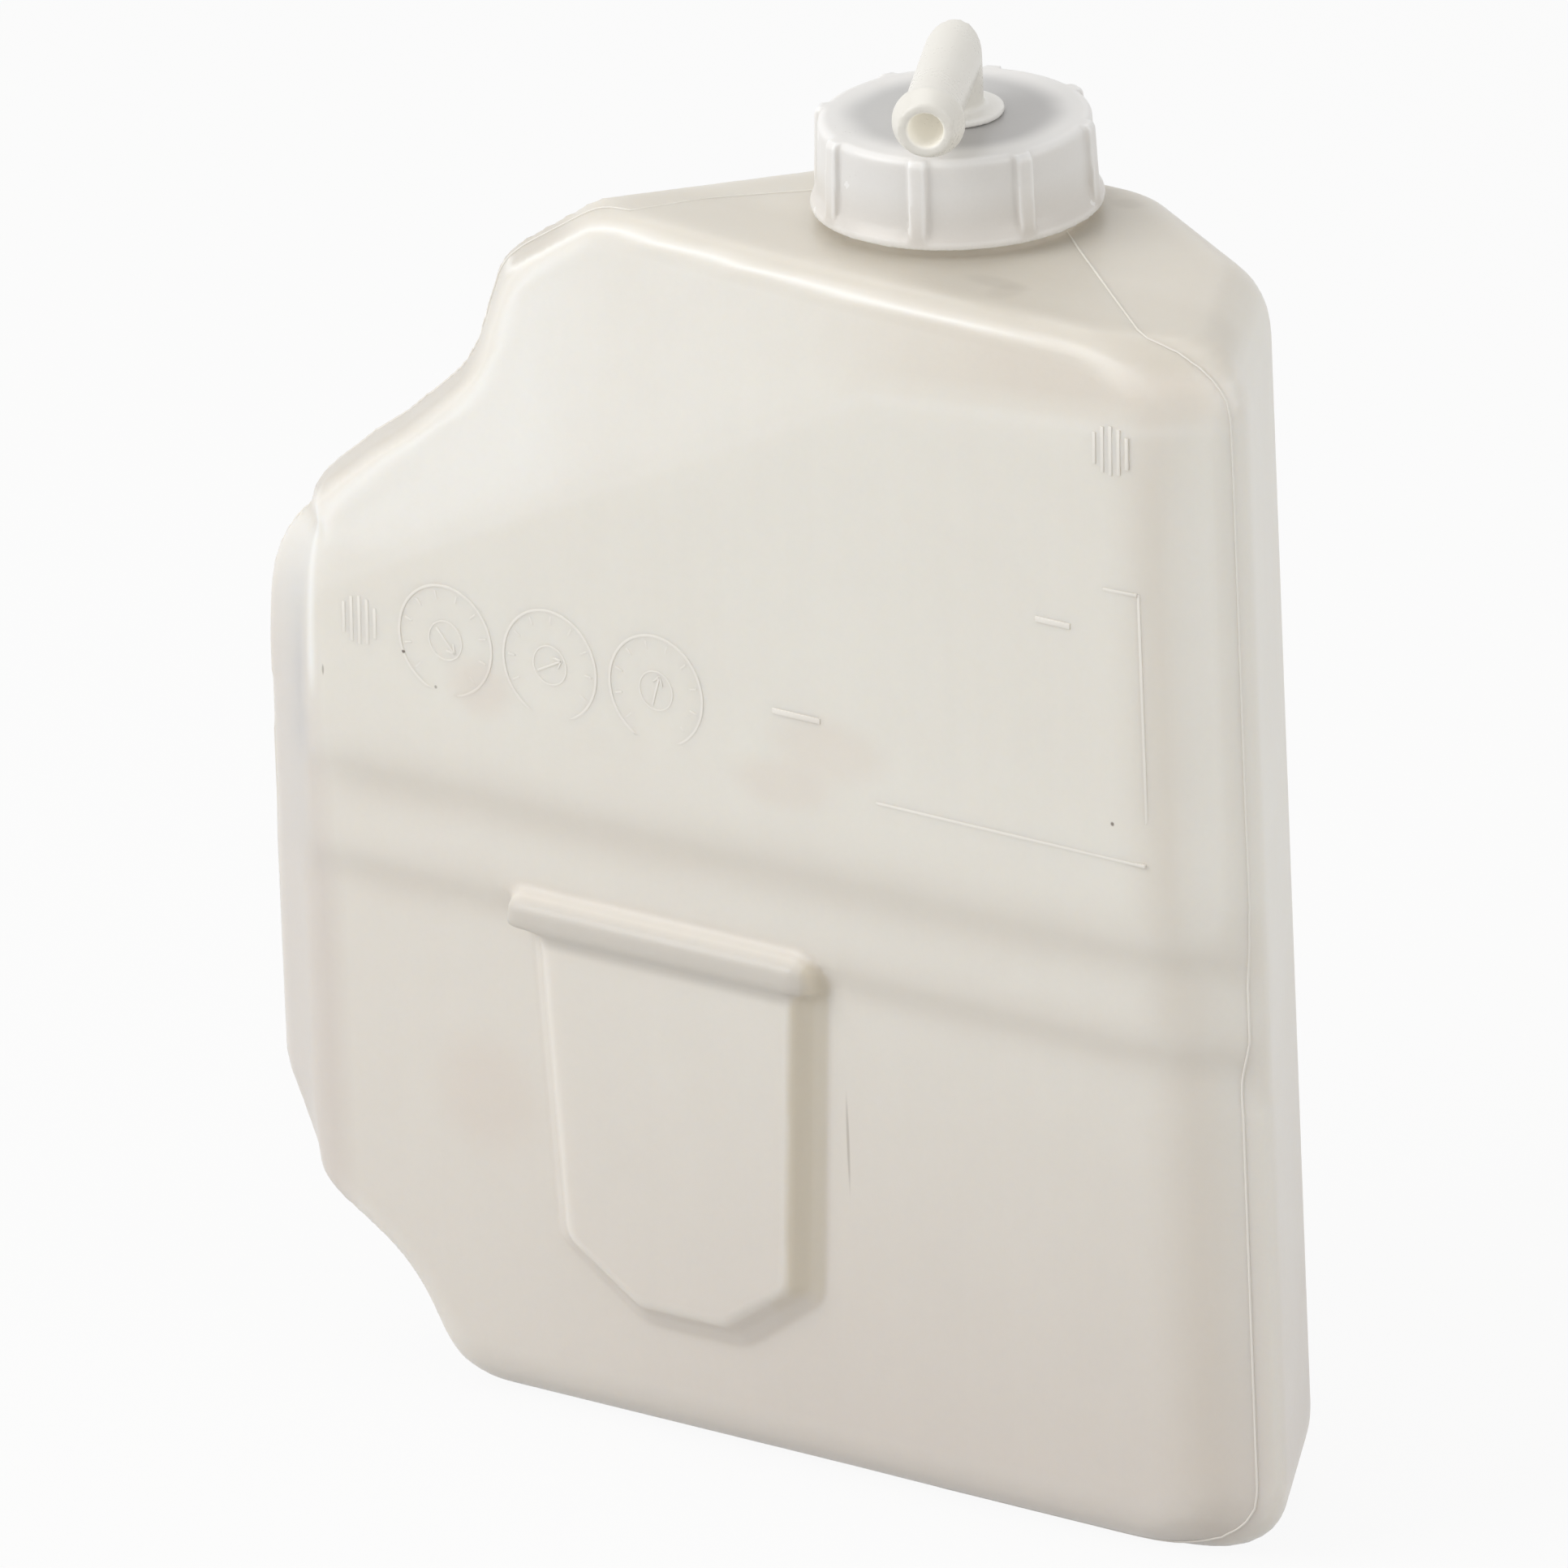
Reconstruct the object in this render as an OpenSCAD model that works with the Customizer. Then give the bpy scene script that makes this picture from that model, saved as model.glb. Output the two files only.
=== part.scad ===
// Coolant expansion tank with its screw cap, swivelling hose elbow and dip tube.
// Millimetres, +Z up. The filler neck stands on x = y = 0 and the base lies on z = 0.
// The front of the tank faces -Y, and its bracket tongue is on that face.

/* [Tank] */
// Height of the flat top
tank_height = 218; // [180:1:260]
// Distance of the front face from the neck axis
front_depth = 39.6; // [30:0.2:50]
// Distance of the rear face from the neck axis
rear_depth = 29; // [24:0.5:40]
// Depth of the mould's parting line in front of the neck axis
seam_depth = 27; // [20:0.5:32]
// Furthest reach to the left of the neck axis
left_reach = 130.8; // [100:0.5:150]
// Furthest reach to the right of the neck axis
right_reach = 82.6; // [60:0.2:100]
// Wall thickness of the blown shell
wall = 2.2; // [1.4:0.1:3]
// Direction of the left wall, from the x axis, as it runs back
left_wall_angle = 52.5; // [40:0.5:80]
// How far the bevel of the left front corner reaches along the front
bevel_width = 20; // [10:0.5:30]

/* [Front face] */
// How far the top left corner is set back from the front face
lean_left = 7.5; // [0:0.5:9]
// How far the top right corner is set back from the front face
lean_right = 3; // [0:0.5:6]
// Drop of each of the two steps under the label face
step_drop = 2; // [0.5:0.1:3]
// Height of each step's slope
step_height = 7; // [4:0.5:12]
// Height of the top of the upper step
upper_step = 113.5; // [90:0.5:140]
// Height of the top of the lower step
lower_step = 95.5; // [60:0.5:110]

/* [Bracket tongue] */
// Middle of the tongue, left of the neck axis
tongue_offset = 37; // [20:0.5:60]
// Width of the tongue's face at its top
tongue_width = 53.6; // [40:0.2:70]
// Width of the tongue's face above its chamfers
tongue_low_width = 46.8; // [35:0.2:70]
// Width of the tongue's flat foot
tongue_foot = 17.7; // [10:0.2:35]
// Height of the foot above the base
tongue_bottom = 25; // [12:0.5:50]
// Height of the chamfers
tongue_chamfer = 9.3; // [4:0.1:20]
// Height of the underside of the lip
lip_bottom = 88.6; // [70:0.5:110]
// How far the tongue stands out of the wall
tongue_proud = 5; // [3:0.1:8]
// How far the lip stands out of the wall
lip_proud = 6.5; // [4:0.1:10]
// Length of the lip
lip_length = 64; // [50:0.5:90]

/* [Neck and cap] */
// Radius of the neck's bore
neck_bore = 17; // [12:0.5:25]
// Thickness of the neck
neck_wall = 2.6; // [2:0.1:4]
// Height of the neck above the tank's top
neck_height = 13.7; // [10:0.1:25]
// Gap between the neck and the cap's skirt, where the thread runs
thread_gap = 1.6; // [0.8:0.1:2]
// Thickness of the cap's top and skirt
cap_wall = 2.2; // [1.4:0.1:3]
// Draft of the skirt from top to bottom, on the radius
cap_draft = 0.5; // [0:0.1:2]
// How far the bottom flange stands out beyond the skirt's foot
flange_out = 1.3; // [1:0.1:4]
// Gap between the cap's flange and the tank's top
cap_clear = 2; // [1:0.1:4]
// Number of grip ribs
grip_ribs = 8; // [4:1:16]
// Width of a grip rib
rib_width = 3; // [1.5:0.1:5]
// Direction of the first grip rib from the x axis
rib_turn = 21.3; // [0:0.1:45]
// How far a grip rib stands out
rib_proud = 1.2; // [0.5:0.1:2.5]
// Thickness of the gasket in the cap
gasket_thick = 1.5; // [1:0.1:3]

/* [Elbow and dip tube] */
// Outer radius of the elbow's tube
tube_radius = 5; // [4:0.1:8]
// Radius of the passage through the elbow's tube
passage = 3; // [2:0.1:5]
// Radius of the disc that rests on the cap
disc_radius = 8.4; // [7:0.1:14]
// Thickness of that disc
disc_thick = 1.5; // [1:0.1:3]
// Height of the tube's axis above the cap's top
elbow_rise = 10; // [9:0.1:25]
// Length of the tube from the stem's axis to its open end
tube_length = 35.3; // [20:0.5:60]
// Radius of the barb's crest
barb_radius = 6.2; // [5:0.1:9]
// Radius of the tube's open end
barb_end = 4.6; // [3.5:0.1:7]
// Direction of the tube from the x axis
elbow_angle = -60.3; // [-180:0.2:180]
// Running gap between the elbow's spigot and the cap's hole
swivel_gap = 0.08; // [0.05:0.01:0.4]
// Wall thickness of the dip tube
dip_wall = 1.5; // [0.8:0.1:3]
// Gap between the dip tube's foot and the floor of the tank
dip_clear = 7; // [3:0.5:20]

/* [Hidden] */
$fn = 96;
neck_radius = neck_bore + neck_wall;
neck_top = tank_height + neck_height;
skirt_inner = neck_radius + thread_gap;
cap_under = neck_top + gasket_thick;
cap_top = cap_under + cap_wall;
cap_foot = tank_height + cap_clear;
cap_rim = skirt_inner + cap_wall - cap_draft;
spigot_radius = tube_radius - 0.1;
stem_passage = passage - 0.2;
hole_radius = spigot_radius + swivel_gap;
boss_depth = 3.2;
boss_foot = cap_under - boss_depth;
snap_radius = hole_radius + 0.6;
dip_bore = passage + 1;
dip_top = boss_foot - 2.6;
dip_foot = wall + dip_clear;
spigot_foot = dip_top - 13;
axis_height = cap_top + elbow_rise;
seal_groove = passage + 1.1;
seal_height = cap_under - 0.2;
seal_section = (hole_radius - seal_groove) / 2;
milky = [0.93, 0.91, 0.86];
clear_white = [0.94, 0.95, 0.96];
cream = [0.95, 0.93, 0.84];
grey_rubber = [0.5, 0.5, 0.49];

// Plan outline, as one support line for each wall: outward direction and distance from the neck axis.
corner_setback = 16.6;
seam_setback = 8.6;
corner_dir = unit([seam_setback, -corner_setback]);
right_dir = unit([0.861, 0.508]);
slant_dir = unit([0.5, 0.866]);
left_dir = [-sin(left_wall_angle), cos(left_wall_angle)];
seam_right = [right_reach, seam_setback - front_depth];
rear_right = 35.9;

// Left edge of the front view, from the top down, each corner with its radius.
left_edge = [
    [-20, tank_height, 0],
    [-56, tank_height, 8],
    [-77.1, tank_height - 13.7, 10],
    [-83, tank_height - 33.5, 20],
    [-left_reach, tank_height - 74.5, 26],
    [-left_reach, 48.5, 8],
    [-left_reach + 8.9, 31.5, 8],
    [-left_reach + 27.3, 20.4, 30],
    [-left_reach + 38.5, 0, 13],
    [-20, 0, 0]
];
crease_left = [-left_reach + 18, tank_height - 78.8];
crease_peak = [9.3, tank_height - 19.7];
crease_right = [60.2, tank_height - 15.2];
top_left = [-50.5, tank_height];
top_right = [69, tank_height];
crease_blend = 0.8;

function unit(v) = v / norm(v);
function turned(v, a) = [v.x * cos(a) - v.y * sin(a), v.x * sin(a) + v.y * cos(a)];
function clamp(t) = max(0, min(1, t));
function ease(t) = clamp(t) * clamp(t) * (3 - 2 * clamp(t));
function spread(a, b, n) = [for (i = [0:n - 1]) a + (b - a) * i / n];

// The point where two support lines cross.
function meet(n, d, m, e) = [d * m.y - e * n.y, e * n.x - d * m.x] / (n.x * m.y - n.y * m.x);

// Arc that rounds the corner c between p and q, in k steps.
function bend(p, c, q, r, k) =
    let (
        u = unit(p - c),
        w = unit(q - c),
        a = acos(max(-1, min(1, u * w))),
        side = cross(c - p, q - c) > 0 ? 1 : -1,
        hub = c + unit(u + w) * r / sin(a / 2),
        start = c + u * r / tan(a / 2) - hub
    )
    [for (i = [0:k]) hub + turned(start, side * (180 - a) * i / k)];

function rounded(c, r, k) =
    let (n = len(c))
    [for (i = [0:n - 1]) each bend(c[(i + n - 1) % n], c[i], c[(i + 1) % n], r[i], k)];

// Left edge with its corners rounded, moved inwards by w.
edge_points = [
    for (i = [1:len(left_edge) - 2])
        let (p = left_edge[i - 1], c = left_edge[i], q = left_edge[i + 1])
        each bend([p.x, p.y], [c.x, c.y], [q.x, q.y], c.z, 6)
];
function edge_moved(w) = [
    for (i = [len(edge_points) - 1:-1:0])
        let (
            a = edge_points[max(i - 1, 0)],
            b = edge_points[min(i + 1, len(edge_points) - 1)],
            t = unit(b - a),
            p = edge_points[i] + w * [-t.y, t.x]
        )
        [p.y, p.x]
];

// How far a rounded edge of radius r has come in at distance d from its face.
function edge_in(d, r) = d >= r ? 0 : r - sqrt(r * r - (r - d) * (r - d));
function both_in(z, w, top_r, low_r) =
    edge_in(tank_height - w - z, top_r - w) + edge_in(z - w, low_r - w) + w;

// Set-back of a plane through a, b and c, given as [x, z] with set-backs sa, sb and sc.
function plane_back(x, z, a, sa, b, sb, c, sc) =
    let (
        area = cross(b - a, c - a),
        p = [x, z],
        kb = cross(p - a, c - a) / area,
        kc = cross(b - a, p - a) / area
    )
    sa + kb * (sb - sa) + kc * (sc - sa);
function soft_max(a, b) = (a + b + sqrt((a - b) * (a - b) + crease_blend * crease_blend)) / 2;
function step_back(z) =
    step_drop * (ease((upper_step - z) / step_height) + ease((lower_step - z) / step_height));
function set_back(x, z) = soft_max(
    step_back(z),
    max(
        plane_back(x, z, crease_left, 0, crease_peak, 0, top_left, lean_left),
        plane_back(x, z, crease_peak, 0, crease_right, 0, top_right, lean_right)
    )
) - crease_blend / 2 * ease((crease_left.y - z) / 20);

// Plan section of the tank at height z, its walls moved in by w, with k steps a corner
// and m points along the front.
function section(z, w, edge, k, m) =
    let (
        front_in = both_in(z, w, 4, 9),
        right_in = both_in(z, w, 11, 14),
        rear_in = both_in(z, w, 8, 12),
        x_left = lookup(z, edge),
        x_bevel = max(x_left + 5, -left_reach + bevel_width - 1.49 * step_back(z)),
        seam_left = [x_left, -seam_depth],
        bevel_dir = unit([-(front_depth - seam_depth), x_left - x_bevel]),
        bevel_d = seam_left * bevel_dir,
        left_d = seam_left * left_dir,
        front_d = front_depth - front_in,
        corner_d = seam_right * corner_dir - right_in,
        right_d = seam_right * right_dir - right_in,
        slant_d = rear_right - rear_in,
        rear_d = rear_depth - rear_in,
        a = meet(bevel_dir, bevel_d, [0, -1], front_d),
        b = meet([0, -1], front_d, corner_dir, corner_d),
        c = meet(corner_dir, corner_d, right_dir, right_d),
        d = meet(right_dir, right_d, slant_dir, slant_d),
        e = meet(slant_dir, slant_d, [0, 1], rear_d),
        f = meet([0, 1], rear_d, left_dir, left_d),
        g = meet(left_dir, left_d, bevel_dir, bevel_d),
        arc_a = bend(g, a, b, 7, k),
        arc_b = bend(a, b, c, 26, k),
        x_a = arc_a[k].x,
        x_b = arc_b[0].x,
        front = [for (i = [1:m]) [x_a + (x_b - x_a) * i / (m + 1), a.y]],
        ring = concat(
            arc_a,
            front,
            arc_b,
            bend(b, c, d, 6, k),
            bend(c, d, e, 14, k - 2),
            bend(d, e, f, 14, k - 2),
            bend(e, f, g, 10, k - 1),
            bend(f, g, a, 4, k)
        )
    )
    [for (p = ring) [p.x, p.y + set_back(p.x, z) * clamp((-seam_depth - p.y) / 8), z]];

// Solid through a stack of rings of equal length, closed at both ends by a fan.
module loft(rings) {
    n = len(rings[0]);
    last = len(rings) - 1;
    points = [for (r = rings) each r];
    foot = [for (r = [rings[0]]) each [[for (p = r) 1] * r / n]];
    head = [for (r = [rings[last]]) each [[for (p = r) 1] * r / n]];
    base = len(points);
    sides = [
        for (j = [0:last - 1], i = [0:n - 1])
            let (a = j * n + i, b = j * n + (i + 1) % n)
            each [[a, a + n, b + n], [a, b + n, b]]
    ];
    ends = [
        for (i = [0:n - 1])
            let (j = (i + 1) % n)
            each [[base, i, j], [base + 1, last * n + j, last * n + i]]
    ];
    polyhedron(concat(points, foot, head), concat(sides, ends));
}

// Ring heights, close together where the outline bends.
outer_heights = concat(
    [for (t = [0:15:75]) 17 * (1 - cos(t))],
    spread(12.6, 35.5, 8),
    spread(35.5, 52, 6),
    [70],
    spread(lower_step - step_height, lower_step, 5),
    [lower_step, (lower_step + upper_step - step_height) / 2],
    spread(upper_step - step_height, upper_step, 5),
    [upper_step, 121],
    spread(128, 156, 8),
    spread(156, 176, 5),
    spread(176, tank_height - 11, 11),
    [for (t = [0:15:90]) tank_height - 11 * (1 - sin(t))]
);
inner_heights = concat(
    [for (t = [0:20:80]) wall + 14.8 * (1 - cos(t))],
    spread(16.5, 52, 8),
    [52, lower_step - step_height, lower_step, upper_step - step_height, upper_step],
    spread(125, 156, 6),
    spread(156, tank_height - 11, 11),
    [for (t = [0:22.5:90]) tank_height - wall - 8.8 * (1 - sin(t))]
);

// Tongue: its outline in the front view grows towards the wall.
function tongue_ring(grow, y) =
    let (
        hw = tongue_width / 2 + grow,
        lw = tongue_low_width / 2 + grow,
        fw = tongue_foot / 2 + grow * 0.42,
        top = lip_bottom + 4,
        low = tongue_bottom + tongue_chamfer - grow * 0.42,
        foot = tongue_bottom - grow,
        c = [[-hw, top], [-lw, low], [-fw, foot], [fw, foot], [lw, low], [hw, top]]
    )
    [for (p = rounded(c, [1.5, 4, 4, 4, 4, 1.5], 4)) [p.x - tongue_offset, y, p.y]];
tongue_face = -front_depth + 2 * step_drop - tongue_proud;
function tongue_rings(w) = [
    for (s = [[7.5, 6.6], [4.2, 4.2], [2.2, 2.9], [0.9, 1.6], [0.2, 0.7], [-0.5, 0.2], [-1.4, 0]])
        tongue_ring(s.x - w, tongue_face + w + s.y)
];

// Lip over the tongue: a sloping roof with a blunt edge, its ends rounded.
lip_face = -front_depth + 2 * step_drop - lip_proud;
function lip_ring(x, s, w) =
    let (
        back = lip_face + lip_proud + 3,
        out = lip_face + w + s,
        low = lip_bottom + w,
        c = [[back, low], [back, low + 10.6 - 2.2 * w - s], [out + 0.9, low + 4.6 - 2.2 * w - s * 0.4], [out, low]]
    )
    [for (p = rounded([c[3], c[0], c[1], c[2]], [1.2, 0.4, 0.4, 1.4], 3)) [x, p.x, p.y]];
function lip_rings(w) =
    let (half = lip_length / 2 - w, mid = -tongue_offset - 1.5)
    [
        for (s = [[-half, 2], [-half + 0.5, 0.8], [-half + 1.7, 0], [half - 4, 0], [half - 1.6, 0.9], [half, 3]])
            lip_ring(mid + s.x, s.y, w)
    ];

module tank() {
    color(milky)
    difference() {
        union() {
            loft([for (z = outer_heights) section(z, 0, edge_moved(0), 5, 13)]);
            loft(tongue_rings(0));
            loft(lip_rings(0));
            translate([0, 0, tank_height - wall]) cylinder(h = neck_height + wall, r = neck_radius);
            translate([0, 0, tank_height - 0.5]) cylinder(h = 1.7, r = neck_radius + 1.6);
        }
        loft([for (z = inner_heights) section(z, wall, edge_moved(wall / sin(left_wall_angle)), 3, 7)]);
        loft(tongue_rings(wall));
        translate([0, 0, tank_height - 3 * wall]) cylinder(h = neck_height + 4 * wall, r = neck_bore);
    }
}

module cap() {
    flare = cap_rim + cap_draft;
    color(clear_white)
    difference() {
        union() {
            rotate_extrude()
                polygon([
                    [hole_radius, boss_foot],
                    [disc_radius, boss_foot],
                    [disc_radius, cap_under],
                    [neck_bore - 2, cap_under],
                    [neck_bore - 1.8, cap_under - 5],
                    [neck_bore - 0.8, cap_under - 5],
                    [neck_bore - 0.5, cap_under],
                    [skirt_inner, cap_under],
                    [skirt_inner, cap_foot],
                    [flare + flange_out, cap_foot],
                    [flare + flange_out, cap_foot + 1],
                    [flare + flange_out * 0.55, cap_foot + 1.9],
                    [flare + flange_out * 0.15, cap_foot + 3.2],
                    [flare, cap_foot + 4.6],
                    [cap_rim + 0.1, cap_top - 1],
                    [cap_rim - 0.2, cap_top - 0.4],
                    [cap_rim - 0.9, cap_top],
                    [hole_radius, cap_top]
                ]);
            intersection() {
                for (i = [0:grip_ribs - 1])
                    rotate(rib_turn + i * 360 / grip_ribs)
                        translate([0, 0, cap_foot + 0.5])
                            linear_extrude(cap_top - cap_foot)
                                union() {
                                    translate([cap_rim - 1.2, -rib_width / 2])
                                        square([rib_proud + 1.2, rib_width]);
                                    translate([cap_rim + rib_proud, 0]) circle(r = rib_width / 2);
                                }
                rotate_extrude()
                    polygon([
                        [skirt_inner + 0.6, cap_foot + 0.5],
                        [flare + flange_out - 0.1, cap_foot + 0.5],
                        [flare + rib_proud, cap_foot + 3.4],
                        [cap_rim + rib_proud, cap_top - 0.9],
                        [cap_rim + rib_proud * 0.5, cap_top - 0.1],
                        [skirt_inner + 0.6, cap_top - 0.1]
                    ]);
            }
        }
    }
}

module cap_gasket() {
    color(grey_rubber)
    translate([0, 0, neck_top])
        difference() {
            cylinder(h = gasket_thick, r = skirt_inner - 0.3);
            translate([0, 0, -1]) cylinder(h = gasket_thick + 2, r = neck_bore - 0.4);
        }
}

// Everything on the kept side of the elbow's mitre.
module mitre_half(side) {
    rotate([0, 45 + side * 180, 0]) translate([-40, -40, 0]) cube([80, 80, 80]);
}

module hose_elbow() {
    color(cream)
    difference() {
        union() {
            rotate_extrude()
                polygon([
                    [0, spigot_foot],
                    [dip_bore - 0.4, spigot_foot],
                    [dip_bore, spigot_foot + 1.2],
                    [dip_bore, dip_top],
                    [spigot_radius - 0.3, dip_top],
                    [snap_radius, boss_foot - 1.2],
                    [snap_radius, boss_foot - 0.1],
                    [spigot_radius, boss_foot - 0.1],
                    [spigot_radius, seal_height - 2 * seal_section],
                    [seal_groove, seal_height - 2 * seal_section],
                    [seal_groove, seal_height],
                    [spigot_radius, seal_height],
                    [spigot_radius, cap_top],
                    [disc_radius, cap_top],
                    [disc_radius, cap_top + disc_thick - 0.3],
                    [disc_radius - 0.3, cap_top + disc_thick],
                    [0, cap_top + disc_thick]
                ]);
            translate([0, 0, axis_height]) rotate(elbow_angle) {
                intersection() {
                    translate([0, 0, -elbow_rise + 0.5]) cylinder(h = elbow_rise + tube_radius + 2, r = tube_radius);
                    mitre_half(1);
                }
                intersection() {
                    rotate([0, 90, 0])
                        rotate_extrude()
                            polygon([
                                [0, -tube_radius - 2],
                                [tube_radius, -tube_radius - 2],
                                [tube_radius, tube_length - 6.2],
                                [barb_radius, tube_length - 5],
                                [barb_radius, tube_length - 3.9],
                                [barb_end + 0.3, tube_length - 0.7],
                                [barb_end, tube_length],
                                [0, tube_length]
                            ]);
                    mitre_half(0);
                }
            }
        }
        translate([0, 0, spigot_foot - 1]) cylinder(h = axis_height + 1.6 - spigot_foot + 1, r = stem_passage);
        translate([0, 0, axis_height]) rotate(elbow_angle) rotate([0, 90, 0])
            translate([0, 0, -1.6]) cylinder(h = tube_length + 2.6, r = passage);
    }
}

module elbow_seal() {
    color(grey_rubber)
    translate([0, 0, seal_height - seal_section])
        rotate_extrude()
            translate([seal_groove + seal_section, 0]) circle(r = seal_section);
}

module dip_tube() {
    color(cream)
    difference() {
        translate([0, 0, dip_foot]) cylinder(h = dip_top - dip_foot, r = dip_bore + dip_wall);
        translate([0, 0, dip_foot - 1]) cylinder(h = dip_top - dip_foot + 2, r = dip_bore);
        translate([0, 0, dip_foot]) rotate([0, -20, 0]) translate([-20, -20, -20]) cube([40, 40, 20]);
    }
}

tank();
cap();
cap_gasket();
hose_elbow();
elbow_seal();
dip_tube();
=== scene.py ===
import math

import bpy
from mathutils import Matrix, Vector


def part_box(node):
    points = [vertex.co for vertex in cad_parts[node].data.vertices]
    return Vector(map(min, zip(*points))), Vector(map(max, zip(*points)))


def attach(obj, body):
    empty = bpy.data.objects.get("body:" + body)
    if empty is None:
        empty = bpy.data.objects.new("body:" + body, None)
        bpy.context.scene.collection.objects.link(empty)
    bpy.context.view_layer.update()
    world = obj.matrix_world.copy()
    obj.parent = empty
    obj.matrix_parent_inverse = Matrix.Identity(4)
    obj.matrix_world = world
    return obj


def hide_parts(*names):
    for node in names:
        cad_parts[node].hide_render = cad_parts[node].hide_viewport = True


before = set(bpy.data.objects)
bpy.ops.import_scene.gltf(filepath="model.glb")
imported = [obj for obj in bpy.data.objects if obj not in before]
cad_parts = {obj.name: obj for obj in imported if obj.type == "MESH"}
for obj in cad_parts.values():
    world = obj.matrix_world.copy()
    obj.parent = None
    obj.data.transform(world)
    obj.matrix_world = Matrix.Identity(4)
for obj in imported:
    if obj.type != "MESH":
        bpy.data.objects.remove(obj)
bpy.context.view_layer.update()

# The tank's shell: one blow-moulded piece of natural, milky high-density polyethylene, about
# 2 mm thick, with its neck. Its outside is drawn into a mould, so every edge is soft. Its colour
# carries painted light: pale painted highlights along convex edges, painted tan shade in the stepped
# hollows.
MERGE_WITHIN = 0.000002
SHELL_VOXEL = 0.00145
NECK_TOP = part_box("tank")[1].z
TANK_TOP = NECK_TOP - 0.0137
TONGUE_MIDDLE = -0.037
FRONT = -0.0396


def alone(piece):
    bpy.ops.object.select_all(action="DESELECT")
    piece.select_set(True)
    bpy.context.view_layer.objects.active = piece
    return piece


def finish_with(piece, kind, **settings):
    alone(piece)
    modifier = piece.modifiers.new(kind.title(), kind)
    for key, value in settings.items():
        setattr(modifier, key, value)
    bpy.ops.object.modifier_apply(modifier=modifier.name)


def copy_of(node, name):
    piece = bpy.data.objects.new(name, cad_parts[node].data.copy())
    bpy.context.scene.collection.objects.link(piece)
    alone(piece)
    bpy.ops.object.mode_set(mode="EDIT")
    bpy.ops.mesh.select_all(action="SELECT")
    bpy.ops.mesh.remove_doubles(threshold=MERGE_WITHIN)
    bpy.ops.object.mode_set(mode="OBJECT")
    piece.data.materials.clear()
    return piece


def pick_faces(piece, test):
    alone(piece)
    bpy.ops.object.mode_set(mode="EDIT")
    bpy.ops.mesh.select_mode(type="FACE")
    bpy.ops.mesh.select_all(action="DESELECT")
    bpy.ops.object.mode_set(mode="OBJECT")
    for face in piece.data.polygons:
        face.select = test(face)
    bpy.ops.object.mode_set(mode="EDIT")


shell = copy_of("tank", "tank_shell")
pick_faces(shell, lambda f: f.center.z > NECK_TOP - 0.00002 and f.normal.z > 0.9)
bpy.ops.mesh.delete(type="FACE")
bpy.ops.mesh.select_all(action="SELECT")
bpy.ops.mesh.separate(type="LOOSE")
bpy.ops.object.mode_set(mode="OBJECT")
parts = sorted(bpy.context.selected_objects, key=lambda o: o.dimensions.x)
shell, hollow = parts[-1], parts[-2]
shell.name = "tank_shell"
for part in (shell, hollow):
    alone(part)
    bpy.ops.object.mode_set(mode="EDIT")
    bpy.ops.mesh.select_mode(type="EDGE")
    bpy.ops.mesh.select_all(action="DESELECT")
    bpy.ops.mesh.select_non_manifold()
    if part is hollow:
        bpy.ops.mesh.extrude_region_move(TRANSFORM_OT_translate={"value": (0, 0, 0.002)})
    bpy.ops.mesh.edge_face_add()
    bpy.ops.mesh.select_all(action="SELECT")
    bpy.ops.mesh.normals_make_consistent(inside=False)
    bpy.ops.object.mode_set(mode="OBJECT")

mould = bpy.data.objects.new("mould", shell.data.copy())
bpy.context.scene.collection.objects.link(mould)
finish_with(shell, "REMESH", mode="VOXEL", voxel_size=SHELL_VOXEL, use_smooth_shade=True)


def on_tongue(p):
    return abs(p.x - TONGUE_MIDDLE + 0.0015) < 0.036 and 0.019 < p.z < 0.104 and p.y < -0.030


def crisp(p):
    return on_tongue(p) or p.z > TANK_TOP + 0.0002


def share(piece, name, test):
    group = piece.vertex_groups.new(name=name)
    for vertex in piece.data.vertices:
        if test(vertex.co):
            group.add([vertex.index], 1.0, "REPLACE")


def relax(piece, rounds, iterations, back, **settings):
    for _ in range(rounds):
        finish_with(piece, "SMOOTH", factor=0.5, iterations=iterations, **settings)
        finish_with(piece, "SMOOTH", factor=back, iterations=iterations, **settings)


share(shell, "soft", lambda p: not crisp(p))
relax(shell, 12, 4, -0.52, vertex_group="soft")
# The left front corner's outline: height, the corner's x there, and how far it is drawn outward.
LEFT_OUTLINE = (
    (0.1150, -0.1300, 0.0), (0.1250, -0.1293, 0.0), (0.1320, -0.1288, -0.0004),
    (0.1390, -0.1273, -0.0006), (0.1430, -0.1257, -0.0008), (0.1470, -0.1229, -0.0012),
    (0.1493, -0.1210, -0.0015), (0.1508, -0.1198, -0.0019), (0.1525, -0.1190, -0.0010),
    (0.1545, -0.1177, 0.0003), (0.1570, -0.1158, 0.0012), (0.1600, -0.1125, 0.0017),
    (0.1635, -0.1082, 0.0014), (0.1675, -0.1032, 0.0012), (0.1720, -0.0976, 0.0),
)
CORNER_WIDTH = 0.016


def pinch_corner(piece):
    rows = list(zip(LEFT_OUTLINE, LEFT_OUTLINE[1:]))
    for vertex in piece.data.vertices:
        for (low, edge_low, out_low), (high, edge_high, out_high) in rows:
            if low <= vertex.co.z < high:
                part_way = (vertex.co.z - low) / (high - low)
                edge = edge_low + (edge_high - edge_low) * part_way
                out = out_low + (out_high - out_low) * part_way
                near = min(1, max(0, 1.25 - (vertex.co.x - edge) / CORNER_WIDTH))
                vertex.co.x -= out * near * near * (3 - 2 * near)
    piece.data.update()


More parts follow.
